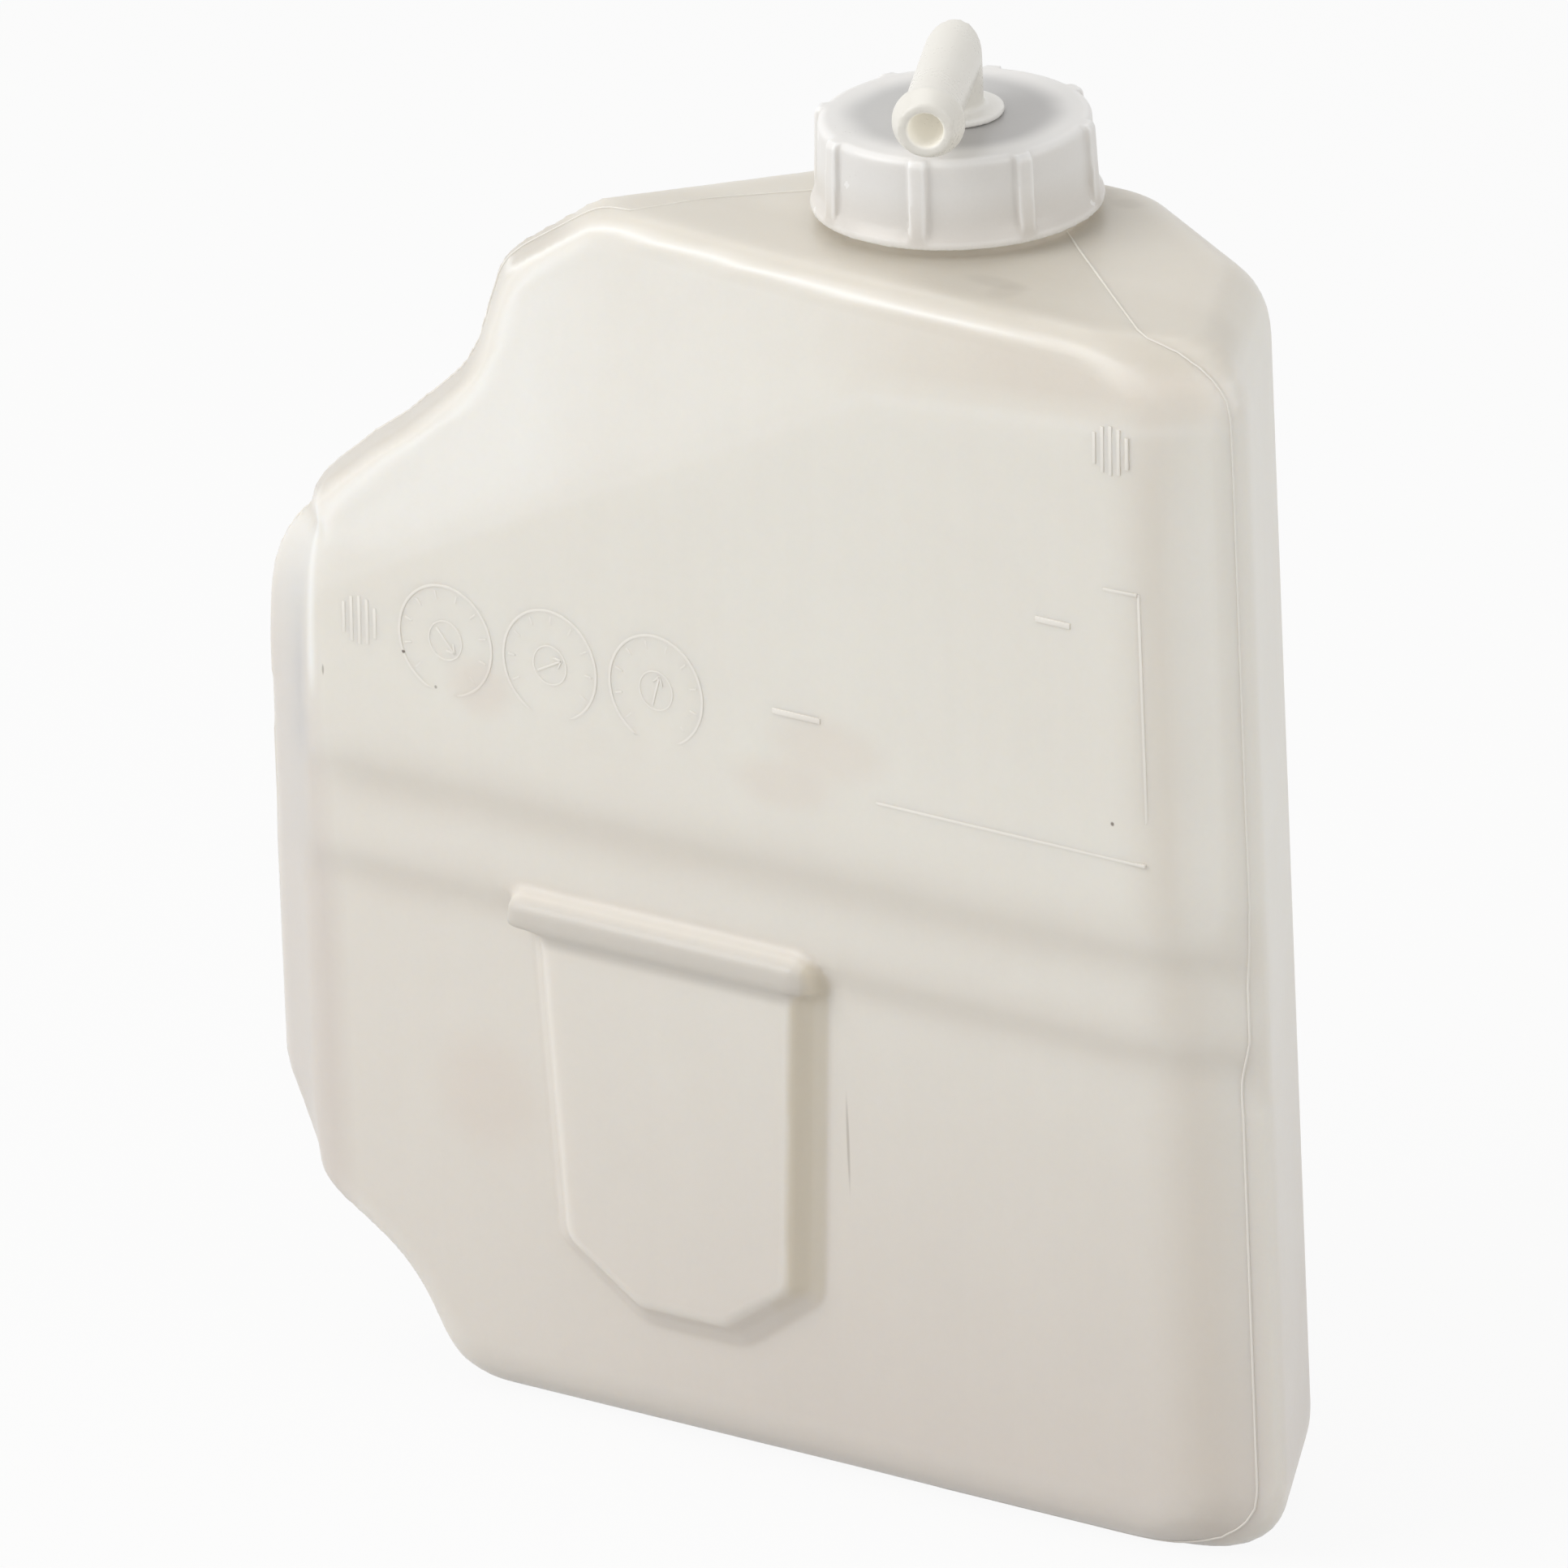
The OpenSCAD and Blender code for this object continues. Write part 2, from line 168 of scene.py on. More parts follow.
pinch_corner(shell)
pinch_corner(hollow)
share(shell, "steps", lambda p: p.y < -0.028 and 0.083 < p.z < 0.119 and not crisp(p))
finish_with(shell, "SMOOTH", factor=0.5, iterations=20, vertex_group="steps")
pick_faces(shell, lambda f: crisp(f.center))
bpy.ops.mesh.subdivide(number_cuts=1)
bpy.ops.object.mode_set(mode="OBJECT")
share(shell, "crisp", crisp)
finish_with(shell, "SHRINKWRAP", target=mould, wrap_method="NEAREST_SURFACEPOINT",
            vertex_group="crisp")
finish_with(shell, "SMOOTH", factor=0.5, iterations=2, vertex_group="crisp")
share(shell, "tongue", on_tongue)
finish_with(shell, "SMOOTH", factor=0.5, iterations=5, vertex_group="tongue")
bpy.data.objects.remove(mould)

parting_line = bpy.data.objects.new("parting_line", shell.data.copy())
bpy.context.scene.collection.objects.link(parting_line)
finish_with(shell, "BOOLEAN", operation="DIFFERENCE", solver="EXACT", object=hollow)
bpy.data.objects.remove(hollow)
alone(shell)
bpy.ops.object.shade_smooth_by_angle(angle=math.radians(50))
shell.vertex_groups.clear()
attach(shell, "tank")
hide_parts("tank")


def display(red, green, blue):
    curve = [c / 255 for c in (red, green, blue)]
    return [*(c / 12.92 if c < 0.04045 else ((c + 0.055) / 1.055) ** 2.4 for c in curve), 1]


def put(tree, kind, inputs=(), **settings):
    made = tree.nodes.new("ShaderNode" + kind)
    for key, value in settings.items():
        setattr(made, key, value)
    for key, value in dict(inputs).items():
        if isinstance(value, bpy.types.NodeSocket):
            tree.links.new(value, made.inputs[key])
        else:
            made.inputs[key].default_value = value
    return made


def tint(tree, factor, below, above, blend="MIX"):
    made = put(tree, "Mix", {0: factor, 6: below, 7: above}, data_type="RGBA", blend_type=blend)
    return made.outputs[2]


def sums(tree, operation, *values):
    return put(tree, "Math", dict(enumerate(values)), operation=operation).outputs[0]


def masked(tree, first, *others):
    for other in others:
        first = sums(tree, "MULTIPLY", first, other)
    return first


def ramp(tree, value, start, stop, full=1, foot=0, **settings):
    made = put(tree, "MapRange", {0: value, 1: start, 2: stop, 3: foot, 4: full}, **settings)
    return made.outputs[0]


def soft_ramp(tree, value, start, stop, full=1, foot=0):
    return ramp(tree, value, start, stop, full, foot, interpolation_type="SMOOTHSTEP")


def band(tree, value, low, high, soft=0.002):
    return masked(tree, soft_ramp(tree, value, low - soft, low + soft),
                  soft_ramp(tree, value, high - soft, high + soft, 0, 1))


def distance(tree, first, second):
    level = put(tree, "CombineXYZ", {0: first, 1: second}).outputs[0]
    return put(tree, "VectorMath", {0: level}, operation="LENGTH").outputs["Value"]


def blot(tree, place, centre, size):
    near = put(tree, "Mapping", {0: place, 1: [-c / s for c, s in zip(centre, size)],
                                 3: [1 / s for s in size]}).outputs[0]
    length = put(tree, "VectorMath", {0: near}, operation="LENGTH").outputs["Value"]
    return soft_ramp(tree, length, 1.0, 0.35)


def moulded_grain():
    group = bpy.data.node_groups.new("moulded_grain", "ShaderNodeTree")
    face = group.interface
    face.new_socket("Place", in_out="INPUT", socket_type="NodeSocketVector")
    face.new_socket("Size", in_out="INPUT", socket_type="NodeSocketFloat")
    face.new_socket("Height", in_out="OUTPUT", socket_type="NodeSocketFloat")
    face.new_socket("Mottle", in_out="OUTPUT", socket_type="NodeSocketFloat")
    into = group.nodes.new("NodeGroupInput").outputs
    out = group.nodes.new("NodeGroupOutput").inputs
    fine = put(group, "TexNoise", {"Vector": into["Place"], "Scale": into["Size"], "Detail": 4,
                                   "Roughness": 0.55}).outputs[0]
    wide = put(group, "TexNoise", {"Vector": into["Place"], "Scale": 90, "Detail": 3,
                                   "Roughness": 0.5}).outputs[0]
    for name, fine_share in (("Height", 0.35), ("Mottle", 0.5)):
        mixed = sums(group, "ADD", masked(group, fine, fine_share), masked(group, wide, 1 - fine_share))
        group.links.new(mixed, out[name])
    return group


grain = moulded_grain()


def by_mottle(tree, feel, low, high):
    return ramp(tree, feel.outputs["Mottle"], 0.3, 0.7, high, low)


def evened(tree, colour, strength):
    grey = put(tree, "CombineColor", {0: strength, 1: strength, 2: strength}).outputs[0]
    return tint(tree, 1.0, colour, grey, "MULTIPLY")


def plastic(name, grain_size, roughness, bump):
    material = bpy.data.materials.new(name)
    material.use_nodes = True
    tree = material.node_tree
    shader = tree.nodes["Principled BSDF"]
    place = put(tree, "TexCoord").outputs["Object"]
    feel = put(tree, "Group", node_tree=grain)
    tree.links.new(place, feel.inputs["Place"])
    feel.inputs["Size"].default_value = grain_size
    rough = by_mottle(tree, feel, roughness - 0.06, roughness + 0.06)
    tree.links.new(rough, shader.inputs["Roughness"])
    relief = put(tree, "Bump", {"Strength": bump, "Distance": 0.0004,
                                "Height": feel.outputs["Height"]}).outputs[0]
    tree.links.new(relief, shader.inputs["Normal"])
    return material, tree, shader, place, feel


def milky(shader, weight, radius, scale):
    shader.inputs["Subsurface Weight"].default_value = weight
    shader.inputs["Subsurface Radius"].default_value = radius
    shader.inputs["Subsurface Scale"].default_value = scale


def glow(tree, shader, mask, colour):
    tree.links.new(tint(tree, mask, (0, 0, 0, 1), colour), shader.inputs["Emission Color"])
    shader.inputs["Emission Strength"].default_value = 1.0


def height_over(tree, axis, start, stop):
    run, climb = stop[0] - start[0], stop[1] - start[1]
    length = math.hypot(run, climb)
    aside = put(tree, "Math", {0: axis[0], 1: -climb / length,
                               2: (climb * start[0] - run * start[1]) / length},
                operation="MULTIPLY_ADD").outputs[0]
    return put(tree, "Math", {0: axis[2], 1: run / length, 2: aside},
               operation="MULTIPLY_ADD").outputs[0]


tank_plastic, tree, shader, place, feel = plastic("milky_polyethylene", 900, 0.36, 0.2)
axis = put(tree, "SeparateXYZ", {0: place}).outputs
surface = put(tree, "NewGeometry").outputs
sides = put(tree, "SeparateXYZ", {0: surface["Normal"]}).outputs
cream, pale, shine = display(231, 227, 218), display(234, 230, 223), display(246, 244, 239)
tan, lilac = display(211, 201, 188), display(215, 207, 199)

# Cream with soft clouds; darker and cooler towards the foot, partly painted shade as the light falls
# from above and partly a cooler tint; a touch darker and warmer low at the left end. Painted tan
# shade lies in the hollows of the two steps and down the right front corner.
cloud = put(tree, "TexNoise", {"Vector": place, "Scale": 16, "Detail": 3, "Roughness": 0.45}).outputs[0]
drift = masked(tree, sums(tree, "SUBTRACT", cloud, 0.5), 0.012)
colour = tint(tree, ramp(tree, cloud, 0.38, 0.68, 0.4), cream, display(227, 221, 211))
colour = tint(tree, ramp(tree, axis[2], 0.13, 0.0), colour, lilac)
end = masked(tree, ramp(tree, axis[0], -0.01, -0.09, 0.5), ramp(tree, axis[2], 0.125, 0.105))
colour = tint(tree, end, colour, display(229, 223, 214))
front = ramp(tree, axis[1], -0.026, -0.030)
wavy = sums(tree, "ADD", axis[2], drift)
steps = sums(tree, "ADD", band(tree, wavy, 0.107, 0.112, 0.008), band(tree, wavy, 0.089, 0.093, 0.007))
steps = masked(tree, steps, ramp(tree, axis[0], -0.112, -0.098))
corner = masked(tree, band(tree, axis[0], 0.064, 0.073, 0.006), 0.8)
colour = tint(tree, masked(tree, sums(tree, "MAXIMUM", steps, corner), front, 0.5), colour, tan)

# The two creases that meet above the label face get a painted highlight, and so does the slope over
# the left crease; the slope over the right crease gets painted tan shade.
over_slope = height_over(tree, axis, (-0.1128, 0.1392), (0.0093, 0.1983))
over_level = height_over(tree, axis, (0.0093, 0.1983), (0.0602, 0.2028))
crease = band(tree, sums(tree, "MAXIMUM", over_slope, over_level), 0.0002, 0.0012, 0.0016)
lit_facet = masked(tree, ramp(tree, over_slope, 0.0, 0.004), ramp(tree, axis[0], 0.012, -0.03, 0.45), front)
above = masked(tree, ramp(tree, over_level, 0.0, 0.006), ramp(tree, axis[0], -0.01, 0.04, 0.6), front)
colour = tint(tree, above, colour, tan)
colour = tint(tree, lit_facet, colour, pale)
colour = tint(tree, masked(tree, crease, 0.55, front), colour, pale)

# The top gets painted warm shade, and beside the cap a darker painted shadow.
top = ramp(tree, axis[2], TANK_TOP - 0.006, TANK_TOP - 0.001, 0.55)
colour = tint(tree, top, colour, display(214, 207, 194))
cap_shadow = masked(tree, top, ramp(tree, axis[0], -0.055, -0.005, 0.8))
colour = tint(tree, cap_shadow, colour, display(192, 184, 170))

# Ridges get a painted pale highlight, and valleys get painted tan shade. The tongue's flank and
# the bevelled corner turn away from the light and get painted shade.
colour = tint(tree, ramp(tree, surface["Pointiness"], 0.503, 0.53, 0.7), colour, pale)
colour = tint(tree, ramp(tree, surface["Pointiness"], 0.497, 0.46, 0.6), colour, tan)
flank = masked(tree, ramp(tree, sides[0], 0.25, 0.6, 0.7), band(tree, axis[0], -0.018, -0.004, 0.001),
               band(tree, axis[2], 0.022, 0.101, 0.001))
colour = tint(tree, flank, colour, display(208, 198, 178))
bevel = masked(tree, ramp(tree, axis[0], -0.108, -0.113, 0.6), ramp(tree, axis[2], 0.150, 0.125), front)
colour = tint(tree, bevel, colour, display(210, 201, 194))

# The left shoulder over the bevel: painted shade where it faces up and out, with a painted highlight along
# its edge.
outward = put(tree, "VectorMath", {0: surface["Normal"], 1: (-0.55, 0, 0.83)},
              operation="DOT_PRODUCT").outputs["Value"]
shoulder = masked(tree, ramp(tree, axis[0], -0.045, -0.065),
                  band(tree, axis[2], 0.150, TANK_TOP - 0.004, 0.003))
turned = masked(tree, ramp(tree, outward, 0.45, 0.85, 0.8), shoulder)
colour = tint(tree, turned, colour, display(196, 190, 180))
edge_light = masked(tree, band(tree, outward, 0.16, 0.30, 0.10), shoulder, 0.7)
colour = tint(tree, edge_light, colour, shine)

# Painted shade on the tongue's lip and on the top behind its front rim; painted highlights along the
# front rim of the top and down the upright edges at the right and the left.
lip = masked(tree, band(tree, axis[2], 0.0865, 0.1010, 0.001), band(tree, axis[0], -0.073, -0.003, 0.001),
             ramp(tree, axis[1], -0.0395, -0.0410, 0.9))
colour = tint(tree, lip, colour, display(199, 194, 186))
high = masked(tree, ramp(tree, axis[2], TANK_TOP - 0.018, TANK_TOP - 0.014),
              ramp(tree, axis[1], -0.012, -0.018))
rim_shade = masked(tree, ramp(tree, sides[2], 0.60, 0.80, 0.45), high)
colour = tint(tree, rim_shade, colour, display(204, 197, 184))
rim = masked(tree, band(tree, sides[2], 0.40, 0.54, 0.08), high, ramp(tree, axis[0], 0.048, 0.026, 0.6))
colour = tint(tree, rim, colour, display(248, 246, 241))
right_highlight = masked(tree, band(tree, sides[0], 0.42, 0.54, 0.10), band(tree, axis[2], 0.115, 0.198, 0.012),
                    ramp(tree, axis[0], 0.060, 0.066, 0.35))
colour = tint(tree, right_highlight, colour, display(243, 240, 234))
upright = masked(tree, band(tree, axis[0], -0.1115, -0.1100, 0.0010),
                 band(tree, axis[2], 0.1240, 0.1560, 0.004), front, 0.8)
colour = tint(tree, upright, colour, shine)

# Flow streaks, faint stains and small dark specks in the plastic.
drawn = put(tree, "Mapping", {0: place, 3: (260, 260, 7)}).outputs[0]
streak = put(tree, "TexNoise", {"Vector": drawn, "Scale": 1, "Detail": 2, "Roughness": 0.5}).outputs[0]
streak = ramp(tree, streak, 0.35, 0.65, 1.003, 0.997)
colour = evened(tree, colour, masked(tree, streak, by_mottle(tree, feel, 0.99, 1.01)))
STAINS = (
    ((-0.0795, FRONT, 0.0550), (0.015, 0.02, 0.015), 0.22),
    ((-0.0745, FRONT, 0.1305), (0.009, 0.02, 0.007), 0.25),
    ((-0.0010, FRONT, 0.1340), (0.016, 0.02, 0.008), 0.2),
    ((-0.0110, FRONT, 0.1260), (0.014, 0.02, 0.006), 0.2),
)
SPECKS = (
    ((0.0260, -0.0240, TANK_TOP), (0.008, 0.003, 0.004), 0.12),
    ((0.0224, 0.0175, TANK_TOP), (0.004, 0.003, 0.004), 0.12),
    ((0.0300, -0.0265, TANK_TOP), (0.004, 0.005, 0.004), 0.1),
    ((-0.0030, -0.0356, 0.0620), (0.0004, 0.004, 0.011), 0.35),
    ((-0.0907, FRONT, 0.1337), (0.0005, 0.004, 0.0004), 1.0),
    ((-0.0840, FRONT, 0.1287), (0.0004, 0.004, 0.0004), 0.6),
    ((0.0583, FRONT, 0.1330), (0.0005, 0.004, 0.0005), 0.9),
    ((-0.1080, FRONT, 0.1270), (0.0003, 0.008, 0.0012), 0.5),
)
for marks, mark_colour in ((STAINS, display(214, 197, 184)), (SPECKS, display(120, 110, 100))):
    for centre, size, strength in marks:
        mark = masked(tree, blot(tree, place, centre, size), strength)
        colour = tint(tree, mark, colour, mark_colour)
tree.links.new(colour, shader.inputs["Base Color"])

# Under the cap's flange the top has a faint painted glow: an emission standing in for light that comes
# through the thin cap.
from_neck = distance(tree, axis[0], axis[1])
painted_cap_glow = masked(tree, ramp(tree, from_neck, 0.0255, 0.0215),
                     ramp(tree, axis[2], TANK_TOP - 0.001, TANK_TOP - 0.0004),
                     ramp(tree, from_neck, 0.0175, 0.0185))
glow(tree, shader, painted_cap_glow, display(92, 89, 82))
milky(shader, 0.45, (1.0, 0.85, 0.65), 0.004)
shader.inputs["IOR"].default_value = 1.5
shell.data.materials.append(tank_plastic)
relief_plastic = tank_plastic.copy()
relief_plastic.name = "milky_polyethylene_relief"
relief_plastic.node_tree.nodes["Principled BSDF"].inputs["Subsurface Weight"].default_value = 0

# The parting line: where the two halves of the mould meet, a hair-thin ridge of the same
# plastic runs round the tank's sides and base, and on the top it turns in towards the neck.
SEAM_POINT, SEAM_FACING = (-0.1308, -0.027, 0), Vector((4, 213.4, 0)).normalized()
SEAM_WIDTH = 0.00021
LEFT_WAY = ((-0.040, -0.018), (-0.0255, -0.004), (-0.0205, -0.001))
RIGHT_WAY = ((0.0596, -0.0294), (0.0430, -0.0160), (0.0277, -0.0036), (0.0215, 0.0015))
alone(parting_line)
bpy.ops.object.mode_set(mode="EDIT")
bpy.ops.mesh.select_all(action="SELECT")
bpy.ops.mesh.bisect(plane_co=SEAM_POINT, plane_no=SEAM_FACING, clear_inner=True, clear_outer=True)
bpy.ops.mesh.select_all(action="DESELECT")
bpy.ops.object.mode_set(mode="OBJECT")
for vertex in parting_line.data.vertices:
    vertex.select = vertex.co.z > TANK_TOP - 0.0006 and abs(vertex.co.x - 0.008) < 0.054
bpy.ops.object.mode_set(mode="EDIT")
bpy.ops.mesh.delete(type="VERT")
bpy.ops.object.mode_set(mode="OBJECT")
ends = [v.index for v in parting_line.data.vertices
        if sum(v.index in e.vertices for e in parting_line.data.edges) == 1]
ends.sort(key=lambda i: parting_line.data.vertices[i].co.x)
for index, way in ((ends[0], LEFT_WAY), (ends[-1], RIGHT_WAY)):
    bpy.ops.object.mode_set(mode="EDIT")
    bpy.ops.mesh.select_mode(type="VERT")
    bpy.ops.mesh.select_all(action="DESELECT")
    bpy.ops.object.mode_set(mode="OBJECT")
    parting_line.data.vertices[index].select = True
    last = parting_line.data.vertices[index].co.copy()
    bpy.ops.object.mode_set(mode="EDIT")
    for x, y in way:
        step = Vector((x, y, TANK_TOP - 0.00003)) - last
        bpy.ops.mesh.extrude_region_move(TRANSFORM_OT_translate={"value": step})
        last = last + step
bpy.ops.object.mode_set(mode="OBJECT")
alone(parting_line)
bpy.ops.object.convert(target="CURVE")
parting_line.data.bevel_depth = SEAM_WIDTH
parting_line.data.bevel_resolution = 2
parting_line.data.use_fill_caps = True
bpy.ops.object.convert(target="MESH")
bpy.ops.object.shade_smooth()
parting_line.data.materials.clear()
parting_line.data.materials.append(relief_plastic)
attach(parting_line, "tank")

# The mould's marks on the front: three round date stamps, each a fine ring with twelve ticks
# and an arrow, raised about 0.1 mm in the plastic of the shell. No figures are on them.
STAMP_HEIGHT = 0.1374
ROOT = 0.0005


def against_skin(piece, x, z, turn=0.0):
    bpy.context.view_layer.update()
    hit, spot, normal, _ = shell.ray_cast((x, -0.1, z), (0, 1, 0))
    lie = (-normal).to_track_quat("Y", "Z").to_matrix().to_4x4()
    piece.data.transform(Matrix.Translation(spot) @ lie @ Matrix.Rotation(turn, 4, "Y"))
    piece.data.update()
    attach(piece, "tank")


def raised_bar(length, width, height):
    bpy.ops.object.select_all(action="DESELECT")
    bpy.ops.mesh.primitive_cube_add(size=1)
    bar = bpy.context.object
    bpy.ops.transform.resize(value=(width, height + ROOT, length))
    bpy.ops.transform.translate(value=(0, -(height - ROOT) / 2, 0))
    bpy.ops.object.transform_apply(location=True, rotation=True, scale=True)
    finish_with(bar, "BEVEL", width=min(width, height) * 0.45, segments=2, limit_method="NONE")
    return bar


def joined(pieces, name):
    bpy.ops.object.select_all(action="DESELECT")
    for piece in pieces:
        piece.select_set(True)
    bpy.context.view_layer.objects.active = pieces[0]
    bpy.ops.object.join()
    pieces[0].name = name
    bpy.ops.object.shade_smooth_by_angle(angle=math.radians(40))
    pieces[0].data.materials.clear()
    pieces[0].data.materials.append(relief_plastic)
    return pieces[0]


def ring_of(radius, width, height):
    bpy.ops.object.select_all(action="DESELECT")
    bpy.ops.mesh.primitive_circle_add(vertices=72, radius=radius, fill_type="NGON")
    ring = bpy.context.object
    bpy.ops.object.mode_set(mode="EDIT")
    bpy.ops.mesh.select_mode(type="FACE")
    bpy.ops.mesh.select_all(action="SELECT")
    bpy.ops.mesh.inset(thickness=width)
    bpy.ops.mesh.delete(type="FACE")
    bpy.ops.mesh.select_all(action="SELECT")
    bpy.ops.mesh.extrude_region_move(TRANSFORM_OT_translate={"value": (0, 0, height + ROOT)})
    bpy.ops.mesh.select_all(action="SELECT")
    bpy.ops.mesh.normals_make_consistent(inside=False)
    bpy.ops.object.mode_set(mode="OBJECT")
    ring.data.transform(Matrix.Rotation(math.radians(90), 4, "X") @ Matrix.Translation((0, 0, -ROOT)))
    finish_with(ring, "BEVEL", width=min(width, height) * 0.4, segments=2, limit_method="ANGLE",
                angle_limit=math.radians(50))
    return ring


def date_stamp():
    marks = [ring_of(0.0100, 0.0005, 0.00012), ring_of(0.0036, 0.0003, 0.00007)]
    for hour in range(12):
        tick = raised_bar(0.0015, 0.00035, 0.00007)
        turn = Matrix.Rotation(hour * math.pi / 6, 4, "Y")
        tick.data.transform(turn @ Matrix.Translation((0, 0, 0.0081)))
        marks.append(tick)
    marks.append(raised_bar(0.0056, 0.0004, 0.0001))
    for side in (-1, 1):
        head = raised_bar(0.0018, 0.00035, 0.0001)
        head.data.transform(Matrix.Translation((side * 0.0005, 0, 0.0021))
                            @ Matrix.Rotation(-side * math.radians(35), 4, "Y"))
        marks.append(head)
    return joined(marks, "date_stamp_left")


left_stamp = date_stamp()
for name, x, turn in (("date_stamp_right", -0.0372, 0.3), ("date_stamp_middle", -0.0596, 1.1),
                      ("date_stamp_left", -0.0817, 2.4)):
    stamp = left_stamp
    if name != "date_stamp_left":
        stamp = left_stamp.copy()
        stamp.data = left_stamp.data.copy()
        stamp.name = name
        bpy.context.scene.collection.objects.link(stamp)
    against_skin(stamp, x, STAMP_HEIGHT, turn)

# Vent marks: round patches of fine upright bars where the mould let its air out, one near the
# left end of the front and one in its top right corner.
VENT_RADIUS = 0.0043
VENT_PITCH = 0.00165


def vent_mark(name, x, z):
    bars = []
    for place in range(-2, 3):
        across = place * VENT_PITCH
        bar = raised_bar(2 * math.sqrt(VENT_RADIUS ** 2 - across ** 2), 0.00062, 0.00006)
        bar.data.transform(Matrix.Translation((across, 0, 0)))
        bars.append(bar)
    against_skin(joined(bars, name), x, z)


vent_mark("vent_mark_left", -0.1000, STAMP_HEIGHT)
vent_mark("vent_mark_right", 0.0605, 0.1998)

# The label panel: the mould holds a changeable insert here, whose edge prints a fine raised line
# down the right side and along the foot of a bare field, with two short level bars beside it.
for side, length, x, z, turn in (("right", 0.0483, 0.0650, 0.1508, 0),
                                 ("foot", 0.0560, 0.0368, 0.1267, 90),
                                 ("top", 0.0066, 0.0615, 0.1749, 90)):
    edge = raised_bar(length, 0.0005, 0.00007)
    against_skin(joined([edge], "label_panel_" + side), x, z, math.radians(turn))
for name, x, z, length in (("level_bar_upper", 0.0473, 0.1667, 0.0072),
                           ("level_bar_lower", -0.0076, 0.1389, 0.0100)):
    bar = raised_bar(length, 0.0010, 0.00022)
    against_skin(joined([bar], name), x, z, math.pi / 2)

# The neck's thread: one and a half turns of a low round-topped ridge round the outside of the
# neck, moulded in one with the shell. The cap's own thread runs inside its skirt.
THREAD_PROFILE = ((-0.5, -1.3), (0.35, -0.9), (0.85, -0.45), (1, -0.15),
                  (1, 0.15), (0.85, 0.45), (0.35, 0.9), (-0.5, 1.3))
THREAD_HEIGHT, THREAD_PITCH = 0.00072, 0.0036


def thread(name, radius, foot, turns, start, outward, material, body):
    bpy.ops.object.select_all(action="DESELECT")
    bpy.ops.mesh.primitive_circle_add(vertices=len(THREAD_PROFILE), radius=1, fill_type="NOTHING")
    ridge = bpy.context.object
    ridge.name = name
    for vertex, (out, up) in zip(ridge.data.vertices, THREAD_PROFILE):
        vertex.co = (radius + outward * out * THREAD_HEIGHT, 0, up * THREAD_HEIGHT)
    finish_with(ridge, "SCREW", angle=turns * 2 * math.pi, screw_offset=THREAD_PITCH * turns,
                steps=int(72 * turns), axis="Z", use_smooth_shade=True)
    bpy.ops.object.mode_set(mode="EDIT")
    bpy.ops.mesh.select_mode(type="EDGE")
    bpy.ops.mesh.select_all(action="SELECT")
    bpy.ops.mesh.remove_doubles(threshold=0.000001)
    bpy.ops.mesh.select_all(action="DESELECT")
    bpy.ops.mesh.select_non_manifold()
    bpy.ops.mesh.edge_face_add()
    bpy.ops.mesh.select_all(action="SELECT")
    bpy.ops.mesh.fill_holes(sides=0)
    bpy.ops.mesh.normals_make_consistent(inside=False)
    bpy.ops.object.mode_set(mode="OBJECT")
    ridge.data.transform(Matrix.Translation((0, 0, foot)) @ Matrix.Rotation(start, 4, "Z"))
    bpy.ops.object.shade_smooth_by_angle(angle=math.radians(50))
    ridge.data.materials.append(material)
    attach(ridge, body)


thread("neck_thread", 0.0196, TANK_TOP + 0.0040, 1.6, 0.4, 1, relief_plastic, "tank")

# The screw cap: injection-moulded natural polypropylene, cool white and translucent, with eight
# soft grip ribs and a flared foot. Over the hollow of the neck its top gets painted grey shade,
# a little darker to the right; the rib edges get a painted highlight, and the lower skirt gets
# painted warm shade where the tone of the tank shows through.
CAP_VOXEL = 0.00038
CAP_LOW, CAP_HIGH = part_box("cap")
cap = copy_of("cap", "screw_cap")
finish_with(cap, "REMESH", mode="VOXEL", voxel_size=CAP_VOXEL, use_smooth_shade=True)
relax(cap, 3, 4, -0.51)
finish_with(cap, "SMOOTH", factor=0.5, iterations=3)
alone(cap)
bpy.ops.object.shade_smooth()
cap_plastic, tree, shader, place, feel = plastic("clear_polypropylene", 1600, 0.33, 0.12)
axis = put(tree, "SeparateXYZ", {0: place}).outputs
wobble = put(tree, "TexNoise", {"Vector": place, "Scale": 60, "Detail": 2}).outputs[0]
reach = sums(tree, "ADD", distance(tree, axis[0], axis[1]),
             masked(tree, sums(tree, "SUBTRACT", wobble, 0.5), 0.003))
# Painted shade over the neck's hollow, painted warm shade at the foot and painted highlights on the rib
# edges.
neck_shade = soft_ramp(tree, reach, 0.0202, 0.0146)
foot = ramp(tree, axis[2], CAP_HIGH.z - 0.006, CAP_LOW.z + 0.002, 0.6)
colour = tint(tree, foot, display(226, 224, 221), display(211, 205, 197))
ridge = ramp(tree, put(tree, "NewGeometry").outputs["Pointiness"], 0.505, 0.54, 0.6)
colour = tint(tree, ridge, colour, display(243, 242, 240))
across = ramp(tree, axis[0], -0.016, 0.012)
neck_shade_colour = tint(tree, across, display(189, 188, 186), display(182, 180, 178))
colour = evened(tree, tint(tree, neck_shade, colour, neck_shade_colour), by_mottle(tree, feel, 0.985, 1.01))
tree.links.new(colour, shader.inputs["Base Color"])
milky(shader, 0.5, (1.0, 0.95, 0.9), 0.003)
cap.data.materials.append(cap_plastic)
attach(cap, "cap")
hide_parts("cap")
thread("cap_thread", 0.0212, TANK_TOP + 0.0058, 1.4, 2.2, -1, cap_plastic, "cap")

